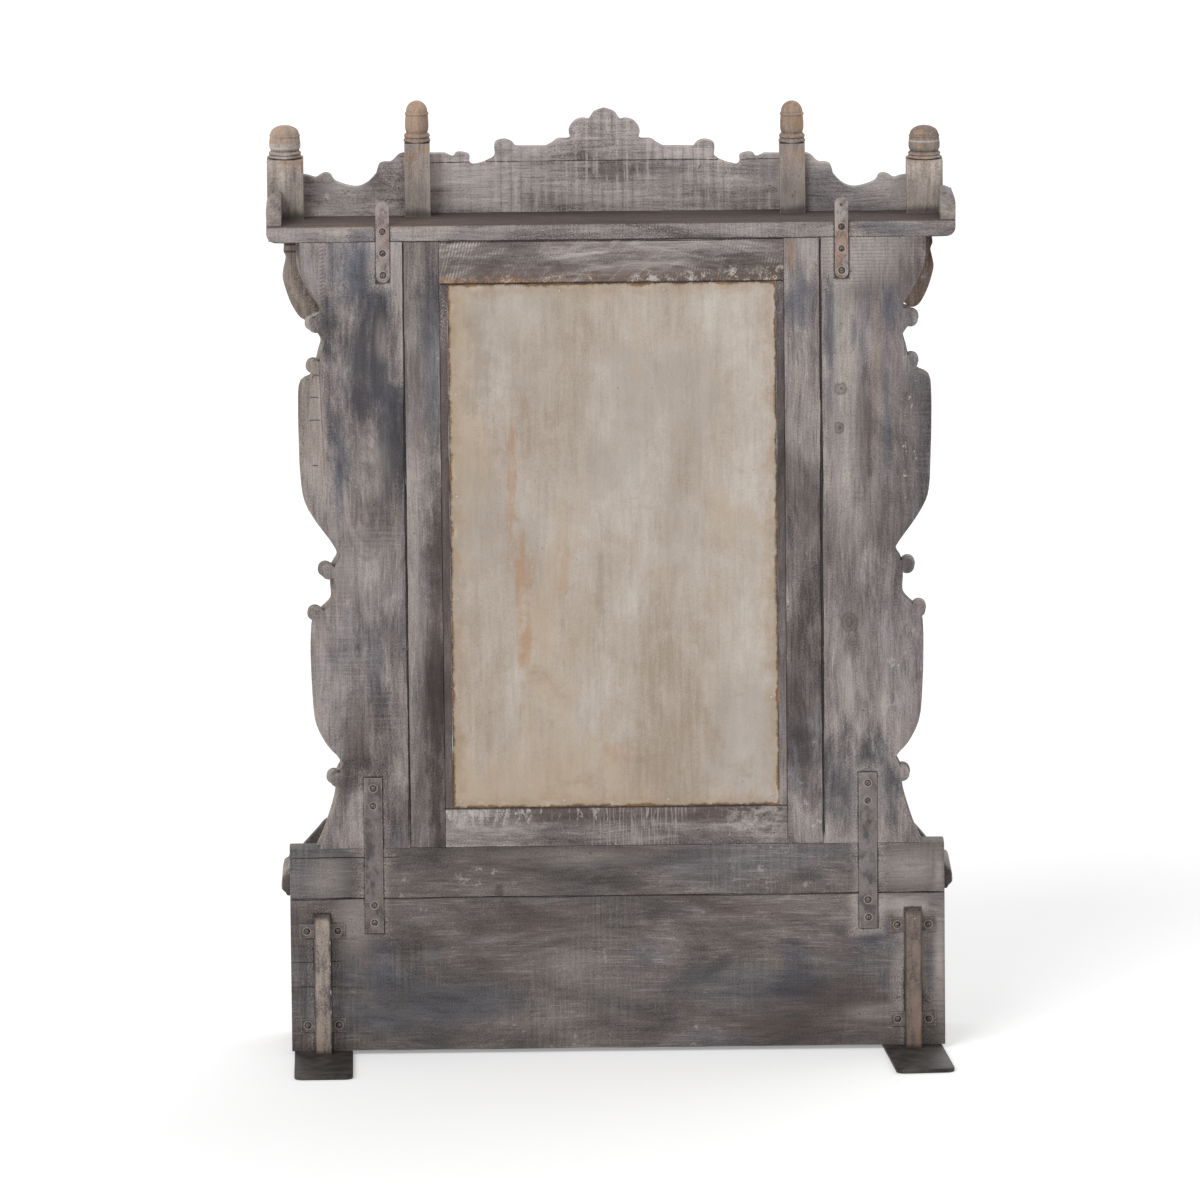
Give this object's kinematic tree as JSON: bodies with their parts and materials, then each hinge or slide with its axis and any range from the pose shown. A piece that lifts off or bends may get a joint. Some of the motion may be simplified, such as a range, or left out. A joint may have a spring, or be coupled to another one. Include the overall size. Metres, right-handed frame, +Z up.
{
  "type": "jharokha mirror",
  "caption": "Carved timber window-frame mirror with scrolled wings, columns, cusped arch, crested cornice and box base, standing on two steel feet.",
  "frame": {"origin": "on the floor, at the middle of the part's bounding box", "axes": "+Z up; the mirror faces -Y and the flat back faces +Y; +X is to the left as seen from behind"},
  "size_m": [1.029, 0.368, 1.436],
  "materials": {
    "old_timber": "weathered grey-brown timber, matt",
    "pale_timber": "weathered pale carved timber, matt",
    "dark_timber": "weathered dark timber, matt",
    "mirror": "silvered flat glass",
    "cream_panel": "cream paint, stained, matt",
    "old_steel": "old steel strap, dull with rust stains",
    "screw_steel": "dark screw heads",
    "tube_paint": "worn beige paint",
    "black_steel": "black paint, worn"
  },
  "bodies": {
    "root": {"base_rear_lower_plank": "old_timber", "base_rear_upper_plank": "old_timber", "base_side_left": "old_timber", "base_side_right": "old_timber", "base_sill": "old_timber", "base_floor": "old_timber", "base_front_panel": "old_timber", "base_pilasters": "pale_timber", "base_rosettes": "pale_timber", "ledge_mouldings": "pale_timber", "plinth_board": "dark_timber", "stile_left": "old_timber", "stile_right": "old_timber", "top_rail": "dark_timber", "bottom_rail": "dark_timber", "panel_liners": "old_timber", "mirror_glass": "mirror", "backing_panel": "cream_panel", "mirror_border": "pale_timber", "panel_pins": "screw_steel", "wing_left": "old_timber", "wing_right": "old_timber", "wing_facing_left": "pale_timber", "wing_facing_right": "pale_timber", "column_foot_left": "pale_timber", "column_foot_right": "pale_timber", "column_shaft_left": "pale_timber", "column_shaft_right": "pale_timber", "column_capital_left": "pale_timber", "column_capital_right": "pale_timber", "cusped_arch": "pale_timber", "frieze_beam": "old_timber", "cornice_bracket_left": "dark_timber", "cornice_bracket_right": "dark_timber", "foot_scroll_left": "dark_timber", "foot_scroll_right": "dark_timber", "cornice_board": "old_timber", "cornice_fascia": "pale_timber", "cornice_upstand_left": "pale_timber", "cornice_upstand_right": "pale_timber", "cornice_dentils": "pale_timber", "crest_centre_lower": "old_timber", "crest_centre_upper": "pale_timber", "crest_side_left": "old_timber", "crest_side_right": "old_timber", "post_outer_left": "pale_timber", "post_outer_right": "pale_timber", "post_inner_left": "pale_timber", "post_inner_right": "pale_timber", "upper_strap_left": "old_steel", "upper_strap_right": "old_steel", "lower_strap_left": "old_steel", "lower_strap_right": "old_steel", "strap_screws": "screw_steel", "stand_tube_left": "tube_paint", "stand_tube_right": "tube_paint", "stand_straps": "old_steel", "stand_plate_left": "black_steel", "stand_plate_right": "black_steel", "stand_screws": "screw_steel"}
  },
  "joints": []
}
